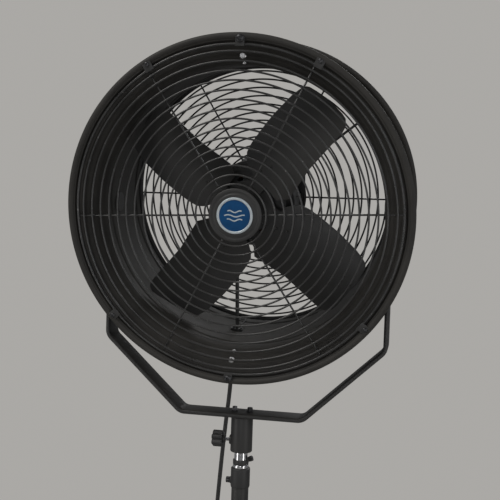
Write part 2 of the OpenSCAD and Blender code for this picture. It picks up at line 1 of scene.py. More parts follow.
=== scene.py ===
"""Looks of the free-standing pedestal fan: drum head, wire guards, yoke, telescopic pole."""
import json
import math

import bmesh
import bpy
from mathutils import Matrix, Vector


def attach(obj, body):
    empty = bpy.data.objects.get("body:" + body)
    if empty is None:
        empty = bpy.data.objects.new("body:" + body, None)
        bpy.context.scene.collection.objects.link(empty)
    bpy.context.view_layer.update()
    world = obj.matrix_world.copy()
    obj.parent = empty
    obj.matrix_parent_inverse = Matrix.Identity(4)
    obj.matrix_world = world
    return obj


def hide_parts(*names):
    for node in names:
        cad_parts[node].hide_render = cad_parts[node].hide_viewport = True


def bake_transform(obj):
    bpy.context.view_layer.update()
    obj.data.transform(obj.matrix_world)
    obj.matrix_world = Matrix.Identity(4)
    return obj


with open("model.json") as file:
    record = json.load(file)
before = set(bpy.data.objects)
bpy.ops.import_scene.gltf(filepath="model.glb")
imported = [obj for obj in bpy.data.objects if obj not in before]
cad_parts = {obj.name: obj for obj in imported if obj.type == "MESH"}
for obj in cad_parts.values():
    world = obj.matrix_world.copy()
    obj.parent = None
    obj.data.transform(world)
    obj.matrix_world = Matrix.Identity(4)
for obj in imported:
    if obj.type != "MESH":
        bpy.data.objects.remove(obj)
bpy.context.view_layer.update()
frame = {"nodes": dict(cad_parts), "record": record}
NODES = frame["nodes"]
MM = 0.001

# Driving sizes in millimetres, the same as the CAD model's.
PIVOT = 1300.0
TILT = 8.7
BAR_Z = PIVOT - 346.6
THROAT_R = 225.0
RIM_R = 273.0
SHEET = 1.2
GRILLE_H = 105.0
REAR_H = -116.0
RING_R0 = 48.2
RING_PITCH = 14.14
WIRE_R = 1.5
GUARD_TURN = 2.0
CLIP_ANGLES = (61, 121, 220, 320)
HANGER_ANGLES = (88.2, 267.4)
BLADE_R = 216.0
BLADE_PITCH = 23.0
BLADE_H = 19.0
BLADE_START = 48.5
CORD_R = 3.75
COIL_AT = (-250.0, 340.0)
COIL_R = 38.0
SLEEVE_KNOB_Z = BAR_Z - 45.0
STOP_Z = BAR_Z - 84.6
STOP_LEAN = 22.0
COLLAR_KNOB_Z = BAR_Z - 113.4

DUST = (0.16, 0.145, 0.125, 1)
# Light grey of the painted glints: flecks on the wire coat that stand in for highlights.
GLINT_FLECK_COLOR = (0.24, 0.24, 0.235, 1)

HEAD = Matrix.Translation((0, 0, PIVOT)) @ Matrix.Rotation(math.radians(TILT), 4, "X")
FAN = HEAD @ Matrix.Rotation(math.radians(90), 4, "X")
WORLD = Matrix.Identity(4)


def spin(degrees):
    return Matrix.Rotation(math.radians(degrees), 4, "Z")


def move(x, y, z):
    return Matrix.Translation((x, y, z))


def along(axis):
    """Turns +Z onto a row axis, for rods and screws."""
    return Vector((0, 0, 1)).rotation_difference(Vector(axis)).to_matrix().to_4x4()


# ---- camera: the photograph's viewpoint ----

def add_camera():
    data = bpy.data.cameras.new("camera")
    data.sensor_width = 36
    data.lens = 62.5
    data.clip_end = 50
    cam = bpy.data.objects.new("camera", data)
    turn = (Matrix.Rotation(math.radians(11.42), 4, "Z")
            @ Matrix.Rotation(math.radians(-2.93), 4, "X")
            @ Matrix.Rotation(math.radians(-1.84), 4, "Y")
            @ Matrix.Rotation(math.radians(90), 4, "X"))
    cam.matrix_world = Matrix.Translation((0.2875, -1.4028, 1.3)) @ turn
    bpy.context.scene.collection.objects.link(cam)
    bpy.context.scene.camera = cam


add_camera()


# ---- mesh helpers, all in millimetres ----

def piece(name, verts, faces, body, mat, at=WORLD, smooth=35.0, replaces=()):
    """A mesh in millimetres, placed by a matrix, riding on a CAD body."""
    mesh = bpy.data.meshes.new(name)
    mesh.from_pydata([(at @ Vector(v)) * MM for v in verts], [], faces)
    mesh.validate()
    bm = bmesh.new()
    bm.from_mesh(mesh)
    bmesh.ops.remove_doubles(bm, verts=bm.verts, dist=1e-6)
    bmesh.ops.recalc_face_normals(bm, faces=bm.faces)
    bm.to_mesh(mesh)
    bm.free()
    obj = bpy.data.objects.new(name, mesh)
    bpy.context.scene.collection.objects.link(obj)
    finish_piece(obj, body, mat, smooth, replaces)
    return obj


def finish_piece(obj, body, mat, smooth=35.0, replaces=()):
    mesh = obj.data
    mesh.materials.clear()
    mesh.materials.append(mat)
    mesh.shade_smooth()
    if smooth is not None:
        mesh.set_sharp_from_angle(angle=math.radians(smooth))
    if body:
        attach(obj, body)
    if replaces:
        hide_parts(*replaces)


class Shape:
    """Collects vertices and faces of several simple solids into one mesh."""

    def __init__(self):
        self.verts = []
        self.faces = []

    def add(self, verts, faces, at=WORLD):
        base = len(self.verts)
        self.verts += [tuple(at @ Vector(v)) for v in verts]
        self.faces += [tuple(base + i for i in f) for f in faces]

    def lathe(self, profile, at=WORLD, steps=48, closed=True):
        """Turns (radius, height) points about Z. Points on the axis become one vertex."""
        verts, rows = [], []
        for r, h in profile:
            if r < 1e-6:
                rows.append([len(verts)] * steps)
                verts.append((0, 0, h))
            else:
                rows.append(list(range(len(verts), len(verts) + steps)))
                verts += [(r * math.cos(2 * math.pi * k / steps),
                           r * math.sin(2 * math.pi * k / steps), h) for k in range(steps)]
        faces = []
        last = len(profile) if closed else len(profile) - 1
        for i in range(last):
            a, b = rows[i], rows[(i + 1) % len(rows)]
            for k in range(steps):
                m = (k + 1) % steps
                quad = []
                for v in (a[k], a[m], b[m], b[k]):
                    if v not in quad:
                        quad.append(v)
                if len(quad) > 2:
                    faces.append(tuple(quad))
        self.add(verts, faces, at)

    def ring(self, radius, wire, at=WORLD, steps=160, sides=12):
        profile = [(radius + wire * math.cos(2 * math.pi * k / sides),
                    wire * math.sin(2 * math.pi * k / sides)) for k in range(sides)]
        self.lathe(profile, at, steps)

    def sweep(self, points, section, up=(0, 0, 1), caps=True):
        """Carries a closed 2D section along a line of points."""
        pts = [Vector(p) for p in points]
        n, m = len(pts), len(section)
        side = None
        verts = []
        for i, p in enumerate(pts):
            t = (pts[min(i + 1, n - 1)] - pts[max(i - 1, 0)]).normalized()
            if side is None:
                side = Vector(up).cross(t)
                if side.length < 1e-3:
                    side = Vector((1, 0, 0))
            side = (side - side.dot(t) * t).normalized()
            top = t.cross(side)
            verts += [tuple(p + side * u + top * v) for u, v in section]
        faces = []
        for i in range(n - 1):
            for k in range(m):
                j = (k + 1) % m
                faces.append((i * m + k, i * m + j, (i + 1) * m + j, (i + 1) * m + k))
        if caps:
            faces.append(tuple(range(m - 1, -1, -1)))
            faces.append(tuple((n - 1) * m + k for k in range(m)))
        self.add(verts, faces)

    def rod(self, p0, p1, radius, sides=16, round_end=0.0):
        """Straight rod, its ends eased by round_end."""
        a, b = Vector(p0), Vector(p1)
        length = (b - a).length
        e = round_end
        profile = [(0, 0), (radius - e, 0), (radius, e), (radius, length - e),
                   (radius - e, length), (0, length)]
        if e == 0:
            profile = [(0, 0), (radius, 0), (radius, length), (0, length)]
        turn = Vector((0, 0, 1)).rotation_difference((b - a).normalized()).to_matrix().to_4x4()
        self.lathe(profile, Matrix.Translation(a) @ turn, sides, closed=False)

    def block(self, low, high, at=WORLD, ease=0.6):
        """Box with eased edges."""
        bm = bmesh.new()
        bmesh.ops.create_cube(bm, size=1)
        for v in bm.verts:
            v.co = Vector([(low[i] + high[i]) / 2 + v.co[i] * (high[i] - low[i]) for i in range(3)])
        if ease:
            bmesh.ops.bevel(bm, geom=list(bm.edges), offset=ease, segments=2, profile=0.6,
                            affect="EDGES")
        bm.verts.index_update()
        self.add([tuple(v.co) for v in bm.verts],
                 [tuple(v.index for v in f.verts) for f in bm.faces], at)
        bm.free()

    def prism(self, outline, h0, h1, at=WORLD, ease=0.8):
        """Flat outline raised from h0 to h1 with eased rims."""
        n = len(outline)
        cx = sum(p[0] for p in outline) / n
        cy = sum(p[1] for p in outline) / n
        rows = []
        for inset, h in ((ease, h0), (0, h0 + ease), (0, h1 - ease), (ease, h1)):
            row = []
            for x, y in outline:
                d = math.hypot(x - cx, y - cy)
                k = (d - inset) / d
                row.append((cx + (x - cx) * k, cy + (y - cy) * k, h))
            rows.append(row)
        verts = [v for row in rows for v in row]
        faces = []
        for i in range(3):
            for k in range(n):
                m = (k + 1) % n
                faces.append((i * n + k, i * n + m, (i + 1) * n + m, (i + 1) * n + k))
        faces.append(tuple(range(n - 1, -1, -1)))
        faces.append(tuple(3 * n + k for k in range(n)))
        self.add(verts, faces, at)

    def make(self, name, body, mat, at=WORLD, smooth=35.0, replaces=(), slot=None):
        return piece(name, self.verts, self.faces, body, mat, at, smooth, replaces)


def circle(radius, sides=12):
    return [(radius * math.cos(2 * math.pi * k / sides), radius * math.sin(2 * math.pi * k / sides))
            for k in range(sides)]


def stadium(width, thick, arc=8):
    """Flat-oval outline, width along the first axis."""
    flat = (width - thick) / 2
    out = []
    for s, start in ((1, -90), (-1, 90)):
        for k in range(arc + 1):
            a = math.radians(start + 180 * k / arc)
            out.append((s * flat + thick / 2 * math.cos(a), thick / 2 * math.sin(a)))
    return out


def smooth_curve(points, steps):
    """Catmull-Rom line through the points, steps per span."""
    p = [Vector(q) for q in points]
    out = []
    for i in range(len(p) - 1):
        a, b, c, d = p[max(i - 1, 0)], p[i], p[i + 1], p[min(i + 2, len(p) - 1)]
        for j in range(steps):
            u = j / steps
            out.append(0.5 * (2 * b + (c - a) * u + (2 * a - 5 * b + 4 * c - d) * u * u
                              + (3 * b - a - 3 * c + d) * u * u * u))
    out.append(p[-1])
    return out


def lobes(radius, depth, count, points=96):
    """Outline of a lobed hand knob."""
    out = []
    for k in range(points):
        a = 2 * math.pi * k / points
        r = radius - depth * (0.5 - 0.5 * math.cos(count * a)) ** 1.5
        out.append((r * math.cos(a), r * math.sin(a)))
    return out


# ---- materials ----

def node(tree, kind, **inputs):
    n = tree.nodes.new(kind)
    for key, value in inputs.items():
        n.inputs[key.replace("_", " ")].default_value = value
    return n


def ramp(tree, source, stops):
    r = tree.nodes.new("ShaderNodeValToRGB")
    while len(r.color_ramp.elements) < len(stops):
        r.color_ramp.elements.new(0.5)
    for e, (pos, col) in zip(r.color_ramp.elements, stops):
        e.position = pos
        e.color = col if len(col) == 4 else (*col, 1)
    tree.links.new(source, r.inputs["Fac"])
    return r.outputs["Color"]


def grey(v):
    return (v, v, v, 1)


def surface(name, dark, light, rough=(0.35, 0.5), metallic=0.0, scale=180.0, bump=0.15,
            bump_scale=900.0, bump_dist=0.00015, dust=0.0, coat=0.0, stretch=(1, 1, 1),
            specular=0.5, glint_flecks=0.0):
    """Two-tone surface with fine bump, uneven gloss, dust where it faces up and painted glint
    flecks.
    """
    mat = bpy.data.materials.new(name)
    mat.use_nodes = True
    tree = mat.node_tree
    bsdf = tree.nodes["Principled BSDF"]
    bsdf.inputs["Metallic"].default_value = metallic
    bsdf.inputs["Specular IOR Level"].default_value = specular
    bsdf.inputs["Coat Weight"].default_value = coat
    bsdf.inputs["Coat Roughness"].default_value = 0.2
    coords = tree.nodes.new("ShaderNodeTexCoord")
    mapping = tree.nodes.new("ShaderNodeMapping")
    mapping.inputs["Scale"].default_value = stretch
    tree.links.new(coords.outputs["Object"], mapping.inputs["Vector"])
    broad = node(tree, "ShaderNodeTexNoise", Scale=scale * 0.12, Detail=5.0, Roughness=0.6)
    fine = node(tree, "ShaderNodeTexNoise", Scale=bump_scale, Detail=3.0, Roughness=0.55)
    for n in (broad, fine):
        tree.links.new(mapping.outputs["Vector"], n.inputs["Vector"])
    color = ramp(tree, broad.outputs["Fac"], [(0.3, dark), (0.7, light)])
    if dust:
        geo = tree.nodes.new("ShaderNodeNewGeometry")
        split = tree.nodes.new("ShaderNodeSeparateXYZ")
        tree.links.new(geo.outputs["Normal"], split.inputs["Vector"])
        up = ramp(tree, split.outputs["Z"], [(0.15, grey(0)), (0.95, grey(1))])
        speck = node(tree, "ShaderNodeTexNoise", Scale=scale * 0.6, Detail=8.0, Roughness=0.7)
        tree.links.new(mapping.outputs["Vector"], speck.inputs["Vector"])
        patch = ramp(tree, speck.outputs["Fac"], [(0.3, grey(0.25)), (0.75, grey(1))])
        amount = tree.nodes.new("ShaderNodeMath")
        amount.operation = "MULTIPLY"
        tree.links.new(up, amount.inputs[0])
        tree.links.new(patch, amount.inputs[1])
        amount2 = tree.nodes.new("ShaderNodeMath")
        amount2.operation = "MULTIPLY"
        amount2.inputs[1].default_value = dust
        tree.links.new(amount.outputs[0], amount2.inputs[0])
        mix = tree.nodes.new("ShaderNodeMix")
        mix.data_type = "RGBA"
        tree.links.new(amount2.outputs[0], mix.inputs["Factor"])
        tree.links.new(color, mix.inputs["A"])
        mix.inputs["B"].default_value = DUST
        color = mix.outputs["Result"]
    # Painted glints: sparse light flecks mixed into the colour, standing in for highlights on the
    # wires.
    if glint_flecks:
        glint_noise = node(tree, "ShaderNodeTexNoise", Scale=150.0, Detail=6.0, Roughness=0.7)
        tree.links.new(mapping.outputs["Vector"], glint_noise.inputs["Vector"])
        glint_spots = ramp(tree, glint_noise.outputs["Fac"], [(0.64, grey(0)), (0.69, grey(glint_flecks))])
        mix = tree.nodes.new("ShaderNodeMix")
        mix.data_type = "RGBA"
        tree.links.new(glint_spots, mix.inputs["Factor"])
        tree.links.new(color, mix.inputs["A"])
        mix.inputs["B"].default_value = GLINT_FLECK_COLOR
        color = mix.outputs["Result"]
    tree.links.new(color, bsdf.inputs["Base Color"])
    gloss = ramp(tree, broad.outputs["Fac"], [(0.25, grey(rough[0])), (0.75, grey(rough[1]))])
    tree.links.new(gloss, bsdf.inputs["Roughness"])
    relief = tree.nodes.new("ShaderNodeBump")
    relief.inputs["Strength"].default_value = bump
    relief.inputs["Distance"].default_value = bump_dist
    tree.links.new(fine.outputs["Fac"], relief.inputs["Height"])
    tree.links.new(relief.outputs["Normal"], bsdf.inputs["Normal"])
    return mat


MAT = {
    "black_paint": surface("black_paint", (0.020, 0.020, 0.0205), (0.032, 0.0315, 0.031),
                           rough=(0.4, 0.56), bump=0.2, bump_scale=700, dust=0.2, specular=0.4),
    "drum_paint": surface("drum_paint", (0.021, 0.020, 0.0185), (0.036, 0.034, 0.031),
                          rough=(0.58, 0.76), bump=0.4, bump_scale=600, dust=0.1, specular=0.3),
    # The wire coat carries the painted glint flecks, light specks standing in for highlights.
    "wire_coat": surface("wire_coat", (0.015, 0.015, 0.0155), (0.03, 0.03, 0.03),
                         rough=(0.24, 0.4), bump=0.25, bump_scale=1400, dust=0.2, coat=0.15,
                         glint_flecks=0.8),
    "blade_paint": surface("blade_paint", (0.018, 0.018, 0.018), (0.03, 0.0295, 0.029),
                           rough=(0.38, 0.58), bump=0.3, bump_scale=500, dust=0.3),
    "cast_grey": surface("cast_grey", (0.16, 0.16, 0.165), (0.28, 0.28, 0.29), rough=(0.5, 0.7),
                         metallic=0.6, bump=0.7, bump_scale=420, bump_dist=0.0004),
    "motor_paint": surface("motor_paint", (0.014, 0.014, 0.0145), (0.026, 0.026, 0.026),
                           rough=(0.4, 0.6), bump=0.6, bump_scale=520, dust=0.3),
    "rubber": surface("rubber", (0.012, 0.012, 0.012), (0.022, 0.022, 0.022),
                      rough=(0.65, 0.85), bump=0.4, bump_scale=1500, specular=0.35),
    "chrome": surface("chrome", (0.62, 0.62, 0.64), (0.8, 0.8, 0.82), rough=(0.08, 0.18),
                      metallic=1.0, scale=260, bump=0.06, bump_scale=240, stretch=(1, 1, 7)),
    "zinc": surface("zinc", (0.42, 0.42, 0.43), (0.66, 0.66, 0.67), rough=(0.25, 0.45),
                    metallic=1.0, scale=900, bump=0.2, bump_scale=1800),
    "black_oxide": surface("black_oxide", (0.03, 0.03, 0.032), (0.075, 0.075, 0.078),
                           rough=(0.28, 0.45), metallic=0.8, scale=700, bump=0.25),
    "black_plastic": surface("black_plastic", (0.014, 0.014, 0.0145), (0.022, 0.022, 0.023),
                             rough=(0.42, 0.6), bump=0.45, bump_scale=1300, dust=0.15),
    "switch_grey": surface("switch_grey", (0.22, 0.23, 0.25), (0.32, 0.33, 0.35),
                           rough=(0.45, 0.6), bump=0.3, bump_scale=1300),
    "badge_silver": surface("badge_silver", (0.42, 0.47, 0.5), (0.52, 0.57, 0.6),
                            rough=(0.3, 0.45), metallic=0.25, scale=900, bump=0.08),
    "badge_blue": surface("badge_blue", (0.0008, 0.042, 0.13), (0.001, 0.06, 0.18),
                          rough=(0.45, 0.6), scale=700, bump=0.08, specular=0.2),
    "copper_wire": surface("copper_wire", (0.06, 0.022, 0.01), (0.12, 0.05, 0.025),
                           rough=(0.25, 0.4), metallic=0.9, scale=1500, bump=0.8),
    "cord_jacket": surface("cord_jacket", (0.011, 0.011, 0.0115), (0.018, 0.018, 0.019),
                           rough=(0.42, 0.58), bump=0.3, bump_scale=1600, dust=0.1),
    "tie_grey": surface("tie_grey", (0.12, 0.12, 0.125), (0.2, 0.2, 0.21), rough=(0.5, 0.65),
                        bump=0.4, bump_scale=1400),
    "brass_pins": surface("brass_pins", (0.55, 0.42, 0.18), (0.78, 0.62, 0.3),
                          rough=(0.18, 0.32), metallic=1.0, scale=900, bump=0.1),
}

# Carried-over CAD nodes take the material of their record slot.
for part in frame["record"]["subparts"]:
    obj = NODES[part["node"]]
    obj.data.materials.clear()
    obj.data.materials.append(MAT[part["material_slot"]])
    obj.data.shade_smooth()
    obj.data.set_sharp_from_angle(angle=math.radians(35))


# ---- cord, coil, tie and plug ----

ROUTE = [
    (-46, 116.4, 1015.6), (-46.8, 119, 1000), (-48.5, 121.5, 980), (-51, 123, 950),
    (-56, 124, 900), (-62, 125, 830), (-70, 129, 720), (-77, 139, 600),
    (-87, 157, 460), (-101, 185, 320), (-118, 218, 200), (-132, 250, 110),
    (-146, 276, 54), (-165, 302, 20), (-187, 328, 6.5), (-205, 348, 4.1), (-223, 367, 4),
]


def coil_points():
    """Turns of the coil from the incoming cord, anticlockwise from above."""
    turns, per_turn = 5, 24
    layer = 2 * CORD_R - 0.3
    out = []
    total = turns * per_turn + 3
    for k in range(1, total + 1):
        a = math.radians(45 + 360 * k / per_turn)
        t = k / per_turn
        outer = min(max((t - 2.6) / 0.4, 0), 1)
        level = min(t, 2.4) / 1.2 if t < 2.8 else max(2.0 - (t - 2.8) / 1.1, 0)
        r = COIL_R + layer * outer
        out.append((COIL_AT[0] + r * math.cos(a), COIL_AT[1] + r * math.sin(a),
                    CORD_R + layer * min(level, 2.0)))
    return out


def cord():
    coil = coil_points()
    tail = [(COIL_AT[0] - 14, COIL_AT[1] + 44.8, 5.5), (COIL_AT[0] - 26, COIL_AT[1] + 43.6, 9.6),
            (COIL_AT[0] - 38, COIL_AT[1] + 43, 12)]
    line = smooth_curve(ROUTE, 6) + smooth_curve(coil + tail, 2)[1:]
    shape = Shape()
    shape.sweep(line, circle(CORD_R, 12), up=(0.3, 0.95, 0.05))
    obj = shape.make("power_cord", None, MAT["cord_jacket"], smooth=60,
                     replaces=("cord_tube", "cord_coil"), slot="cord_jacket")
    path = [p * MM for p in line]
    length = sum((b - a).length for a, b in zip(path, path[1:]))
    return obj, path, length


cord_obj, cord_path, cord_length = cord()


# ---- lights, floor and backdrop ----

def area_light(name, at, aim, size, power, color=(1, 1, 1)):
    data = bpy.data.lights.new(name, "AREA")
    data.shape = "RECTANGLE"
    data.size, data.size_y = size
    data.energy = power
    data.color = color
    obj = bpy.data.objects.new(name, data)
    obj.location = at
    obj.rotation_euler = (Vector(aim) - Vector(at)).to_track_quat("-Z", "Y").to_euler()
    obj.visible_camera = False
    bpy.context.scene.collection.objects.link(obj)


def studio():
    scene = bpy.context.scene
    world = bpy.data.worlds.new("studio")
    world.use_nodes = True
    tree = world.node_tree
    wall = tree.nodes["Background"]
    wall.inputs["Color"].default_value = (0.405, 0.395, 0.378, 1)
    fill = tree.nodes.new("ShaderNodeBackground")
    fill.inputs["Color"].default_value = (0.40, 0.40, 0.40, 1)
    fill.inputs["Strength"].default_value = 0.42
    path = tree.nodes.new("ShaderNodeLightPath")
    mix = tree.nodes.new("ShaderNodeMixShader")
    tree.links.new(path.outputs["Is Camera Ray"], mix.inputs[0])
    tree.links.new(fill.outputs[0], mix.inputs[1])
    tree.links.new(wall.outputs[0], mix.inputs[2])
    tree.links.new(mix.outputs[0], tree.nodes["World Output"].inputs["Surface"])
    scene.world = world
    scene.view_settings.view_transform = "Standard"
    area_light("key", (-1.4, -1.2, 3.2), (0, 0, 1.2), (1.4, 1.4), 40, (1, 0.98, 0.95))
    area_light("side", (2.4, -0.8, 2.1), (0, 0, 1.1), (0.7, 1.6), 13, (0.95, 0.97, 1))
    area_light("back", (0.6, 2.2, 2.8), (0, 0, 1.2), (1.6, 1.0), 22, (1, 1, 1))
    area_light("front", (0.2, -2.6, 1.0), (0, 0, 0.9), (0.5, 1.2), 7, (1, 1, 1))
    area_light("low_left", (-1.7, -1.25, 0.55), (0, 0, 0.7), (0.5, 1.0), 6, (1, 0.98, 0.95))
    area_light("low_right", (1.75, -1.15, 0.55), (0, 0, 0.7), (0.4, 1.0), 5, (1, 0.98, 0.95))
    floor = bpy.data.meshes.new("floor")
    bm = bmesh.new()
    bmesh.ops.create_circle(bm, cap_ends=True, segments=128, radius=2.2)
    bm.to_mesh(floor)
    bm.free()
    obj = bpy.data.objects.new("floor", floor)
    scene.collection.objects.link(obj)
    floor.materials.append(surface("pale_floor", (0.42, 0.41, 0.39), (0.46, 0.45, 0.43),
                                   rough=(0.55, 0.7), scale=30, bump=0.05))


studio()


# ---- small hardware ----

def cross_screw_template():
    """Domed screw head of radius 1 and height 0.62 with a cross recess."""
    head = Shape()
    head.lathe([(0, 0), (0.94, 0), (1, 0.08), (0.97, 0.22), (0.86, 0.4), (0.66, 0.53),
                (0.4, 0.6), (0, 0.62)], steps=28, closed=False)
    mesh = bpy.data.meshes.new("screw_template")
    mesh.from_pydata(head.verts, [], head.faces)
    obj = bpy.data.objects.new("screw_template", mesh)
    bpy.context.scene.collection.objects.link(obj)
    cut = Shape()
    cut.block((-0.55, -0.12, 0.34), (0.55, 0.12, 1), ease=0)
    cut.block((-0.12, -0.55, 0.34), (0.12, 0.55, 1), ease=0)
    cut_mesh = bpy.data.meshes.new("cross_template")
    cut_mesh.from_pydata(cut.verts, [], cut.faces)
    cutter = bpy.data.objects.new("cross_template", cut_mesh)
    bpy.context.scene.collection.objects.link(cutter)
    mod = obj.modifiers.new("cross", "BOOLEAN")
    mod.object = cutter
    mod.operation = "DIFFERENCE"
    mod.solver = "EXACT"
    mod.use_self = True
    bpy.context.view_layer.update()
    done = obj.evaluated_get(bpy.context.evaluated_depsgraph_get()).to_mesh()
    verts = [tuple(v.co) for v in done.vertices]
    faces = [tuple(p.vertices) for p in done.polygons]
    for o in (obj, cutter):
        bpy.data.objects.remove(o)
    return verts, faces


SCREW = cross_screw_template()


def screw(shape, at, radius, turn=20.0, height=None):
    """Domed cross-head screw standing on the plane z = 0 of a matrix."""
    k = (height / 0.62) if height else radius
    size = Matrix.Diagonal((radius, radius, k, 1))
    shape.add(*SCREW, at @ spin(turn) @ size)


def hex_bolt(shape, at, across, height, flange=0.0):
    """Chamfered hexagon head, with a round flange if asked."""
    r = across / 2 / math.cos(math.radians(30))
    rows = []
    for radius, h in ((r, 0), (r, height * 0.82), (r * 0.86, height)):
        rows.append([(radius * math.cos(math.radians(60 * k)),
                      radius * math.sin(math.radians(60 * k)), h) for k in range(6)])
    verts = [v for row in rows for v in row]
    faces = [(i * 6 + k, i * 6 + (k + 1) % 6, i * 6 + 6 + (k + 1) % 6, i * 6 + 6 + k)
             for i in range(2) for k in range(6)]
    faces += [tuple(range(5, -1, -1)), tuple(range(12, 18))]
    shape.add(verts, faces, at)
    if flange:
        shape.lathe([(0, -0.01), (flange, -0.01), (flange, 0.8), (r * 0.9, 1.4), (0, 1.4)], at, 32,
                    closed=False)


def thread(shape, at, radius, length, pitch=1.0):
    """Threaded rod drawn as close ridges."""
    profile = [(0, 0), (radius - 0.35, 0)]
    for k in range(int(length / pitch)):
        profile += [(radius, (k + 0.5) * pitch), (radius - 0.35, (k + 1) * pitch)]
    profile += [(radius - 0.35, length), (0, length)]
    shape.lathe(profile, at, 20, closed=False)


def knurled(shape, at, radius, height, teeth=22):
    outline = [((radius - (0.35 if k % 2 else 0)) * math.cos(math.pi * k / teeth),
                (radius - (0.35 if k % 2 else 0)) * math.sin(math.pi * k / teeth))
               for k in range(2 * teeth)]
    shape.prism(outline, 0, height, at, ease=0.5)


def rounded(path, radius, steps=4):
    """Eases the corners of a 2D line."""
    out = [path[0]]
    for a, b, c in zip(path, path[1:], path[2:]):
        a, b, c = Vector(a), Vector(b), Vector(c)
        d = min(radius, (a - b).length * 0.45, (c - b).length * 0.45)
        p, q = b + (a - b).normalized() * d, b + (c - b).normalized() * d
        for k in range(steps + 1):
            t = k / steps
            out.append(tuple((1 - t) ** 2 * p + 2 * t * (1 - t) * b + t * t * q))
    out.append(path[-1])
    return out


def sheet_loop(path, thick):
    """Closed outline of a sheet that follows a line, thickened to its left."""
    pts = [Vector(p) for p in path]
    far = []
    for i, p in enumerate(pts):
        t = (pts[min(i + 1, len(pts) - 1)] - pts[max(i - 1, 0)]).normalized()
        far.append(tuple(p + thick * Vector((-t.y, t.x))))
    return [tuple(p) for p in pts] + far[::-1]


# ---- drum ----

FLARE = [(266.5, 104), (261.5, 104), (259.8, 98.5), (252.5, 96.5), (249.5, 90.5), (242.5, 87),
         (240, 81), (235, 77), (232, 70.5), (229, 66), (226.4, 59), (THROAT_R, 50)]
BARREL = [(THROAT_R, 42), (THROAT_R + 1.6, 39), (THROAT_R + 1.6, 35), (THROAT_R, 32),
          (THROAT_R, -78), (THROAT_R + 1.6, -81), (THROAT_R + 1.6, -85), (THROAT_R, -88),
          (THROAT_R, -106)]
BACK = [(THROAT_R + 2.4, -112), (THROAT_R + 8, -114.4), (264, -114.4)]


def drum():
    shape = Shape()
    line = rounded(FLARE + BARREL + BACK, 2.6, 5)
    shape.lathe(sheet_loop(line, SHEET), steps=256)
    for h, r in ((102.2, RIM_R - 5), (-110.6, RIM_R - 7.5)):
        shape.ring(r, 5, move(0, 0, h), steps=256, sides=20)
    shape.make("drum_shell", "head", MAT["drum_paint"], FAN, smooth=40, replaces=("drum",),
               slot="black_paint")
    seam = Shape()
    for k in range(24):
        h0, h1 = -104 + 6.1 * k, -104 + 6.1 * (k + 1)
        seam.block((THROAT_R + SHEET - 0.6, -7, h0), (THROAT_R + SHEET + 0.7, 7, h1 - 0.01),
                   spin(300), ease=0)
    seam.make("drum_seam", "head", MAT["drum_paint"], FAN, slot="black_paint")


# ---- wire guards ----

def guard(name, h_rings, h_spokes, count, spoke_to, extra=None):
    rings, spokes, welds = Shape(), Shape(), Shape()
    for k in range(count):
        rings.ring(RING_R0 + k * RING_PITCH, WIRE_R, move(0, 0, h_rings), steps=192, sides=12)
    if extra:
        rings.ring(extra[0], 2, move(0, 0, extra[1]), steps=192, sides=12)
    for a in range(0, 360, 60):
        turn = spin(a + (GUARD_TURN if extra else 0))
        spokes.rod(turn @ Vector((34, 0, h_spokes)), turn @ Vector((spoke_to, 0, h_spokes)),
                   WIRE_R, 12, round_end=0.5)
        mid = (h_rings + h_spokes) / 2
        for k in range(count):
            r = RING_R0 + k * RING_PITCH
            blob = [(0, -1.3), (1.3, -1.1), (2.0, -0.5), (2.1, 0), (2.0, 0.5), (1.3, 1.1), (0, 1.3)]
            welds.lathe(blob, turn @ move(r, 0, mid), 10, closed=False)
    side = "front" if h_rings > 0 else "rear"
    rings.make(name + "_rings", "head", MAT["wire_coat"], FAN, 60, (side + "_rings",),
               "black_paint")
    spokes.make(name + "_spokes", "head", MAT["wire_coat"], FAN, 60, (side + "_spokes",),
                "black_paint")
    welds.make(name + "_welds", "head", MAT["wire_coat"], FAN, 60, (), "black_paint")


def guard_centre():
    plate = Shape()
    rim = rounded([(0, 0), (41, 0), (42, 1.0), (41, 2.2), (37.5, 2.6), (36, 1.7), (34, 1.7),
                   (32.5, 2.8), (0, 3)], 0.8, 3)
    plate.lathe(rim, move(0, 0, GRILLE_H - 0.4), 96, closed=False)
    plate.make("guard_hub", "head", MAT["black_paint"], FAN, 30, ("guard_plate",), "black_paint")
    bezel = Shape()
    bezel.lathe(rounded([(24.4, 0), (28.4, 0), (28.4, 1.2), (27.6, 2.2), (25.4, 2.2),
                         (24.4, 1.5), (24.4, 0.01)], 0.4, 3), move(0, 0, GRILLE_H + 2.4), 96)
    bezel.make("badge_ring", "head", MAT["badge_silver"], FAN, 40, ("badge_bezel",), "badge_silver")
    disc = Shape()
    disc.lathe([(0, 0), (24.4, 0), (24.4, 0.9), (23.8, 1.1), (16, 1.18), (8, 1.2), (0, 1.2)],
               move(0, 0, GRILLE_H + 2.5), 96, closed=False)
    disc.make("badge_face", "head", MAT["badge_blue"], FAN, 30, ("badge_disc",), "badge_blue")
    mark = Shape()
    for y0, reach, phase in ((6.5, 11, 0.4), (0, 16, 0.0), (-6.5, 12, 0.8)):
        line = [(-reach + 2 * reach * k / 24, y0 + 1.5 * math.sin(phase + k * math.pi / 9),
                 GRILLE_H + 3.72) for k in range(25)]
        mark.sweep(line, [(-0.2, -0.9), (0.2, -0.9), (0.2, 0.9), (-0.2, 0.9)], up=(0, 1, 0))
    mark.make("badge_mark", "head", MAT["badge_silver"], FAN, 40, (), "badge_silver")


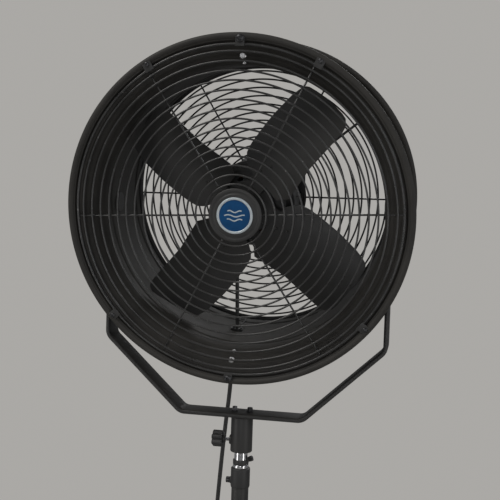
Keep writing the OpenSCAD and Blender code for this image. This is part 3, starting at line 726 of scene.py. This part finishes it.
def guard_fixings():
    clips, screws, outer, inner = Shape(), Shape(), Shape(), Shape()
    for a in CLIP_ANGLES + HANGER_ANGLES:
        turn = spin(a)
        clips.block((253, -7, GRILLE_H + 0.7), (267, 7, GRILLE_H + 2.2), turn, ease=0.5)
        clips.block((261.5, -7, GRILLE_H - 1), (267, 7, GRILLE_H + 1.5), turn, ease=0.4)
    for a in CLIP_ANGLES:
        screw(screws, spin(a) @ move(264, 0, GRILLE_H + 2.2), 3.9, turn=a * 1.7)
    for a in HANGER_ANGLES:
        turn = spin(a)
        screw(outer, turn @ move(264, 0, GRILLE_H + 2.2), 6.2, turn=33, height=3.4)
        hex_bolt(inner, turn @ move(239.8, 0, GRILLE_H - 22), 8, 4, flange=5)
        inner.rod(turn @ Vector((239.8, 0, GRILLE_H - 36)),
                  turn @ Vector((239.8, 0, GRILLE_H - 21)), 2, 12)
        screw(inner, turn @ move(229.5, 0, GRILLE_H - 36), 3, turn=12)
        inner.rod(turn @ Vector((229.5, 0, GRILLE_H - 42)),
                  turn @ Vector((229.5, 0, GRILLE_H - 35)), 1.5, 12)
    clips.make("rim_clips", "head", MAT["black_paint"], FAN, 35, ("guard_clips",), "black_paint")
    screws.make("rim_screws", "head", MAT["black_oxide"], FAN, 35, ("clip_screws",), "black_oxide")
    outer.make("rim_bolts", "head", MAT["black_oxide"], FAN, 35, (), "black_oxide")
    inner.make("flare_bolts", "head", MAT["zinc"], FAN, 35, ("hanger_bolts",), "zinc")


def rear_fixings():
    frame_ring, screws = Shape(), Shape()
    outline = [(221.5, -1.3), (221.5, 0.3), (262, 0.3), (262, -1.3), (221.5, -1.31)]
    frame_ring.lathe(rounded(outline, 0.4, 2), move(0, 0, REAR_H), 192)
    frame_ring.make("rear_rim_plate", "head", MAT["black_paint"], FAN, 40, ("rear_frame",),
                    "black_paint")
    flip = Matrix.Rotation(math.pi, 4, "X")
    for k in range(8):
        screw(screws, spin(15 + 45 * k) @ move(250, 0, REAR_H - 1.3) @ flip, 4, turn=31 * k)
    screws.make("rear_rim_screws", "head", MAT["zinc"], FAN, 35, ("rear_screws",), "zinc")


# ---- rotor ----

BLADE_EDGE_LOW = [(46, -29), (64, -42.5), (100, -37.5), (120, -34.5), (195, -34.5), (206, -31.5),
                  (217, -20)]
BLADE_EDGE_HIGH = [(46, 40), (60, 60), (80, 65), (110, 68), (140, 69), (180, 67), (200, 63),
                   (210, 57), (217, 45)]
CAMBER = 170.0


def edge_at(edge, x):
    for (x0, y0), (x1, y1) in zip(edge, edge[1:]):
        if x <= x1:
            t = (x - x0) / (x1 - x0)
            return y0 + (y1 - y0) * t
    return edge[-1][1]


def blade_point(x, y, lift):
    """Point of the pitched, cambered sheet that lies over (x, y) seen along the axis."""
    pitch = math.radians(BLADE_PITCH)
    flat, rise = y, 0.0
    for _ in range(12):
        flat = (y - rise * math.sin(pitch)) / math.cos(pitch)
        rise = CAMBER - math.sqrt((CAMBER + lift) ** 2 - (flat - 16) ** 2)
    return (x, flat * math.cos(pitch) + rise * math.sin(pitch),
            BLADE_H - flat * math.sin(pitch) + rise * math.cos(pitch))


def blade(shape, at):
    stations = [46, 50, 56, 64, 80, 100, 120, 140, 160, 180, 196, 202, 206, 209, 212, 214, 215.6]
    across = 18
    layers = []
    for lift in (0.0, 1.6):
        rows = []
        for x in stations:
            lo, hi = edge_at(BLADE_EDGE_LOW, x), edge_at(BLADE_EDGE_HIGH, x)
            reach = math.sqrt(max(BLADE_R ** 2 - x * x, 0))
            lo, hi = max(lo, -reach), min(hi, reach)
            rows.append([blade_point(x, lo + (hi - lo) * k / across, lift)
                         for k in range(across + 1)])
        layers.append(rows)
    n, m = len(stations), across + 1
    verts = [v for rows in layers for row in rows for v in row]
    faces = []

    def quad(*corners):
        faces.append(tuple(layer * n * m + i * m + k for layer, i, k in corners))

    for i in range(n - 1):
        for k in range(m - 1):
            quad((0, i, k), (0, i, k + 1), (0, i + 1, k + 1), (0, i + 1, k))
            quad((1, i, k), (1, i + 1, k), (1, i + 1, k + 1), (1, i, k + 1))
    for i in range(n - 1):
        for k in (0, m - 1):
            quad((0, i, k), (0, i + 1, k), (1, i + 1, k), (1, i, k))
    for k in range(m - 1):
        for i in (0, n - 1):
            quad((0, i, k), (1, i, k), (1, i, k + 1), (0, i, k + 1))
    shape.add(verts, faces, at)


def rotor():
    blades, rivets = Shape(), Shape()
    for a in range(0, 360, 90):
        turn = spin(a + BLADE_START)
        blade(blades, turn)
        sheet = turn @ move(0, 0, BLADE_H) @ Matrix.Rotation(math.radians(-BLADE_PITCH), 4, "X")
        for x, y in ((58, 7), (58, 25), (75, 16)):
            rivets.lathe([(0, 2), (1.2, 1.9), (2.4, 1.3), (3, 0.2), (3, -4.6), (2.2, -5.6),
                          (0, -5.6)], sheet @ move(x, y, 0), 16, closed=False)
    blades.make("paddles", "rotor", MAT["blade_paint"], FAN, 40, ("fan_blades",), "black_paint")
    rivets.make("paddle_rivets", "rotor", MAT["blade_paint"], FAN, 40, ("blade_rivets",),
                "black_paint")


# ---- yoke, sleeve and pole ----

ARM_X = 232.4
BAR_HALF = 102.6
BEND_DROP = 225.0
YOKE_W, YOKE_T, BEND_R = 44.0, 7.6, 20.0


def bent_line(corners, radius, steps=10):
    """Line through the corners, each one turned as an arc."""
    out = [Vector(corners[0])]
    for a, b, c in zip(corners, corners[1:], corners[2:]):
        a, b, c = Vector(a), Vector(b), Vector(c)
        u, v = (a - b).normalized(), (c - b).normalized()
        half = u.angle(v) / 2
        cut = radius / math.tan(half)
        centre = b + (u + v).normalized() * radius / math.sin(half)
        p, q = b + u * cut - centre, b + v * cut - centre
        turn = p.angle(q)
        for k in range(steps + 1):
            t = k / steps
            out.append(centre + (p * math.sin((1 - t) * turn) + q * math.sin(t * turn))
                       / math.sin(turn))
    out.append(Vector(corners[-1]))
    return out


def yoke():
    top, low = PIVOT + 16, PIVOT - BEND_DROP
    corners = [(-ARM_X, 0, top), (-ARM_X, 0, low), (-BAR_HALF, 0, BAR_Z), (BAR_HALF, 0, BAR_Z),
               (ARM_X, 0, low), (ARM_X, 0, top)]
    shape = Shape()
    shape.sweep(bent_line(corners, BEND_R), stadium(YOKE_W, YOKE_T), up=(1, 0, 0))
    shape.make("yoke_tube", "yoke", MAT["black_paint"], smooth=40, replaces=("yoke",),
               slot="black_paint")
    caps = Shape()
    for s in (-1, 1):
        caps.prism([(y, x) for x, y in stadium(YOKE_W - 0.6, YOKE_T - 0.6)], 0, 2.4,
                   move(s * ARM_X, 0, top - 0.4), ease=0.8)
    caps.make("yoke_end_caps", "yoke", MAT["black_plastic"], smooth=35, replaces=("yoke_caps",),
              slot="black_plastic")
    bolts = Shape()
    for s in (-1, 1):
        at = move(s * 12.9, 0, BAR_Z + YOKE_T / 2)
        bolts.lathe([(0, 0), (5.2, 0), (5.4, 0.3), (5.4, 0.8), (5.1, 1), (0, 1)], at, 32,
                    closed=False)
        hex_bolt(bolts, at @ move(0, 0, 0.9) @ spin(20 * s), 8, 6.6)
    bolts.make("yoke_fixings", "yoke", MAT["black_oxide"], smooth=30, replaces=("yoke_bolts",),
               slot="black_oxide")


def sleeve_and_knob():
    z0, z1 = BAR_Z - 63, BAR_Z - YOKE_T / 2
    body = Shape()
    body.lathe(rounded([(14.3, z0), (17.4, z0), (18.2, z0 + 0.8), (18.2, z1 - 1.2), (17.4, z1),
                        (14.3, z1), (14.3, z0 + 0.01)], 0.5, 2), WORLD, 64)
    boss = move(-20, 0, SLEEVE_KNOB_Z) @ along((1, 0, 0))
    body.lathe(rounded([(3.1, 0), (7.4, 0), (8, 0.7), (8, 8), (3.1, 8), (3.1, 0.01)], 0.4, 2),
               boss, 40)
    body.make("swivel_sleeve", "yoke", MAT["black_paint"], smooth=35, replaces=("sleeve",),
              slot="black_paint")
    knob = Shape()
    at = move(-27.5, 0, SLEEVE_KNOB_Z) @ along((-1, 0, 0))
    knob.lathe(rounded([(3, 0), (6.4, 0), (7, 0.6), (7, 4.5), (3, 4.5), (3, 0.01)], 0.4, 2), at, 40)
    knob.prism(lobes(14, 3.6, 6), 4, 21.5, at, ease=1.6)
    knob.lathe([(0, 21.4), (6, 21.4), (5.6, 20.9), (0, 20.9)], at, 32, closed=False)
    knob.make("swivel_knob", "sleeve_knob", MAT["black_plastic"], smooth=30,
              replaces=("sleeve_knob",), slot="black_plastic")
    stud = Shape()
    thread(stud, move(-46, 0, SLEEVE_KNOB_Z) @ along((1, 0, 0)), 2.98, 34)
    stud.make("swivel_stud", "sleeve_knob", MAT["zinc"], smooth=20, replaces=("sleeve_stud",),
              slot="zinc")


def pole_parts():
    stop = STOP_Z
    trim = stop - 6.3
    collar = trim - 33
    ring = Shape()
    ring.lathe(rounded([(11.1, stop), (12.6, stop), (13.15, stop + 0.6), (13.15, stop + 7),
                        (12.6, stop + 7.6), (11.1, stop + 7.6), (11.1, stop + 0.01)], 0.4, 2),
               WORLD, 64)
    tip = Matrix.Rotation(math.radians(-STOP_LEAN), 4, "Y")
    lean = move(0, 0, stop + 3) @ tip @ along((1, 0, 0))
    ring.lathe([(2.2, 0), (4, 0), (4, 3.9), (2.2, 3.9)], lean @ move(0, 0, 11.5), 32)
    ring.make("height_stop", "mast", MAT["black_paint"], smooth=35, replaces=("stop_ring",),
              slot="black_paint")
    small = Shape()
    at = lean @ move(0, 0, 15.8)
    knurled(small, at, 4.5, 5.8)
    small.rod(at @ Vector((0, 0, -3.4)), at @ Vector((0, 0, 0.5)), 2, 16)
    small.make("height_stop_screw", "stop_screw", MAT["black_oxide"], smooth=25,
               replaces=("stop_screw",), slot="black_oxide")
    tube = Shape()
    top, bottom = BAR_Z - 27.5, trim - 430
    tube.lathe([(9.6, bottom), (11.1, bottom), (11.1, top), (9.6, top)], WORLD, 64)
    tube.make("chrome_tube", "mast", MAT["chrome"], smooth=40, replaces=("upper_tube",),
              slot="chrome")
    bright = Shape()
    bright.lathe(rounded([(11.5, trim), (12.5, trim), (13.1, trim + 0.7), (13.1, trim + 5.3),
                          (12.5, trim + 6), (11.5, trim + 6), (11.5, trim + 0.01)], 0.4, 2),
                 WORLD, 64)
    bright.make("bright_ring", "stand", MAT["chrome"], smooth=40, replaces=("trim_ring",),
                slot="chrome")
    cup = Shape()
    cup.lathe(rounded([(14.3, collar), (15, collar), (15.5, collar + 0.5), (15.5, collar + 2),
                       (16, collar + 2.5), (16, collar + 32), (15, collar + 33),
                       (11.5, collar + 33), (11.5, collar + 30), (14.3, collar + 30),
                       (14.3, collar + 0.01)], 0.4, 2),
              WORLD, 64)
    cup.lathe([(2.6, 0), (5.6, 0), (6, 0.5), (6, 5.4), (2.6, 5.4)],
              move(-17.4, 0, COLLAR_KNOB_Z) @ along((1, 0, 0)), 36)
    cup.make("clamp_collar", "stand", MAT["black_plastic"], smooth=35, replaces=("pole_collar",),
             slot="black_paint")
    clamp = Shape()
    at = move(-17.8, 0, COLLAR_KNOB_Z) @ along((-1, 0, 0))
    knurled(clamp, at, 5, 6.2)
    clamp.rod(at @ Vector((0, 0, -3)), at @ Vector((0, 0, 0.5)), 2.5, 16)
    clamp.make("clamp_screw", "collar_screw", MAT["black_oxide"], smooth=25,
               replaces=("collar_screw",), slot="black_oxide")
    pole = Shape()
    pole.lathe([(12.8, 14), (14.3, 14), (14.3, trim - 3), (12.8, trim - 3)], WORLD, 64)
    pole.make("outer_pole", "stand", MAT["black_paint"], smooth=40, replaces=("lower_pole",),
              slot="black_paint")


def base():
    cover = Shape()
    line = rounded([(30, 30.6), (60, 30), (120, 28), (231, 24), (237, 21), (240, 16), (240, 3)],
                   6, 6)
    cover.lathe(sheet_loop(line, -1.6), WORLD, 160)
    cover.make("base_dish", "stand", MAT["black_paint"], smooth=30, replaces=("base_cover",),
               slot="black_paint")
    socket = Shape()
    z = 32.4
    socket.lathe(rounded([(14.4, z), (48, z), (48, z + 4), (46.5, z + 5), (32, z + 5), (28, z + 8),
                          (20.6, z + 27), (20, z + 30), (20, z + 45.6), (18.6, z + 47),
                          (14.4, z + 47), (14.4, z + 0.01)], 1.2, 3), WORLD, 80)
    socket.make("base_socket", "stand", MAT["black_paint"], smooth=35, replaces=("pole_socket",),
                slot="black_paint")
    bolts = Shape()
    for k in range(4):
        hex_bolt(bolts, spin(45 + 90 * k) @ move(36, 0, z + 5) @ spin(17 * k), 10, 4.5)
    bolts.make("base_bolts", "stand", MAT["zinc"], smooth=30, replaces=("socket_bolts",),
               slot="zinc")
    feet = Shape()
    for k in range(6):
        feet.lathe(rounded([(0, 0), (10, 0), (11.5, 1.2), (13, 5), (13, 8), (0, 8)], 0.8, 3),
                   spin(30 + 60 * k) @ move(206, 0, 0), 32, closed=False)
    feet.make("base_feet", "stand", MAT["rubber"], smooth=35, replaces=("rubber_feet",),
              slot="rubber")


# ---- tilt knobs, switch box, plug ----

def tilt_knobs():
    for side, name in ((-1, "tilt_knob_left"), (1, "tilt_knob_right")):
        at = HEAD @ move(side * (ARM_X + YOKE_T / 2 + 0.4), 0, 0) @ along((side, 0, 0))
        shape = Shape()
        shape.lathe(rounded([(4.05, 0), (8.5, 0), (9, 0.5), (9, 4.2), (4.05, 4.2), (4.05, 0.01)],
                            0.4, 2), at, 40)
        outline = lobes(20, 4.5, 6)
        shape.prism(outline, 4, 19, at, ease=1.8)
        shape.make(name + "_grip", name, MAT["black_plastic"], smooth=30, replaces=(name,),
                   slot="black_plastic")


def switch_parts():
    box, lid, screws = Shape(), Shape(), Shape()
    x, y, z = -62.0, 72.0, -262.0
    for x0, x1, y0, y1 in ((-38, 38, -26, -23.5), (-38, 38, 23.5, 26), (-38, -35.5, -26, 26),
                           (35.5, 38, -26, 26)):
        box.block((x + x0, y + y0, z), (x + x1, y + y1, z + 40), ease=0.3)
    box.make("switch_case", "head", MAT["black_plastic"], HEAD, 35, (), "black_plastic")
    lid.block((x - 38, y - 26, z - 2.5), (x + 38, y + 26, z), ease=1)
    lid.make("switch_cover", "head", MAT["black_plastic"], HEAD, 35, ("switch_lid",),
             "black_plastic")
    down = Matrix.Rotation(math.pi, 4, "X")
    for sx in (-1, 1):
        for sy in (-1, 1):
            screw(screws, move(x + sx * 33, y + sy * 21, z - 2.5) @ down, 2.8,
                  turn=25 * sx + 40 * sy)
    screws.make("switch_screws", "head", MAT["zinc"], HEAD, 35, (), "zinc")
    relief = Shape()
    profile = [(3.8, 0), (9, 0), (9, 3), (7.2, 3.2)]
    for k in range(6):
        h = 4.5 + 4.6 * k
        r = 7.2 - 0.34 * k
        profile += [(r, h), (r, h + 2.6), (r - 0.9, h + 3.0), (r - 0.9, h + 4.0)]
    profile += [(5.1, 32.4), (4.8, 33), (3.8, 33)]
    relief.lathe(profile, move(-46, y, z - 2.5) @ down, 32)
    relief.rod((-46, y, z - 2.5), (-46, y, z - 36.2), CORD_R - 0.02, 24)
    relief.make("cord_relief", "head", MAT["rubber"], HEAD, 30, ("cord_gland",), "rubber")
    knob = Shape()
    at = move(-82, y, z - 6) @ down
    knob.lathe(rounded([(0, 0.5), (16, 0.5), (16, 2), (14, 12), (13, 13), (0, 13)], 0.8, 3), at, 48,
               closed=False)
    knob.block((-2.4, -17, 1.5), (2.4, 17, 12.4), at, ease=0.9)
    knob.make("speed_dial", "speed_knob", MAT["black_plastic"], HEAD, 30, ("speed_knob",),
              "black_plastic")


def plug_and_tie():
    px, py, pz = COIL_AT[0] - 68, COIL_AT[1] + 43, 12.0
    body = Shape()
    body.block((px - 20, py - 11, 0.2), (px + 14, py + 11, 24), ease=2.4)
    for k in range(5):
        rib = px - 12 + 4.6 * k
        for s in (-1, 1):
            body.block((rib, py + s * 11 - 0.8, 4), (rib + 2.4, py + s * 11 + 0.8, 20), ease=0.5)
    boot = [(CORD_R, 0), (5.6, 0)]
    for k in range(4):
        ridge, groove, h = 5.6 - 0.2 * k, 4.9 - 0.15 * k, 4 + 5 * k
        boot += [(ridge, h), (ridge, h + 2.4), (groove, h + 2.8), (groove, h + 4.2)]
    boot += [(4.2, 24), (CORD_R, 24)]
    body.lathe(boot, move(px + 12, py, pz) @ along((1, 0, 0)), 28)
    obj = body.make("cord_plug", "yoke", MAT["cord_jacket"], smooth=35, replaces=("plug_body",),
                    slot="cord_jacket")
    pins = Shape()
    for s in (-1, 1):
        mid = py + s * 6.35
        pins.block((px - 37, mid - 0.75, pz - 1.2), (px - 18, mid + 0.75, pz + 5.2), ease=0.5)
    pins.rod((px - 18, py, pz - 7), (px - 41, py, pz - 7), 2.4, 20, round_end=1.2)
    pin_obj = pins.make("cord_plug_pins", "yoke", MAT["brass_pins"], smooth=35,
                        replaces=("plug_pins",), slot="brass_pins")
    tie = Shape()
    tx, ty = COIL_AT[0], COIL_AT[1] - COIL_R - CORD_R + 0.1
    loop = [(-8.6, 0.4), (8.6, 0.4), (9, 9), (8.7, 20), (6.6, 23.4), (-6.6, 23.4), (-8.7, 20),
            (-9, 9)]
    line = [(tx, ty + a, b) for a, b in rounded(loop + loop[:1], 2.5, 4)]
    line = line[:-1] + [line[0]]
    tie.sweep(line, [(-4, -0.35), (4, -0.35), (4, 0.35), (-4, 0.35)], up=(0, 1, 0))
    tie.block((tx - 4.6, ty - 3, 23.2), (tx + 4.6, ty + 5, 24.2), ease=0.3)
    tie_obj = tie.make("cord_wrap", "yoke", MAT["tie_grey"], smooth=30, replaces=("cord_tie",),
                       slot="tie_grey")
    return obj, pin_obj, tie_obj


drum()
guard("front_guard", GRILLE_H, GRILLE_H - 2.9, 15, 255.5, extra=(256, GRILLE_H - 1.4))
guard("rear_guard", REAR_H - 5.6, REAR_H - 2.7, 13, 236)
guard_centre()
guard_fixings()
rear_fixings()
rotor()
yoke()
sleeve_and_knob()
pole_parts()
base()
tilt_knobs()
switch_parts()
on_cord = plug_and_tie()

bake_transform(cord_obj)
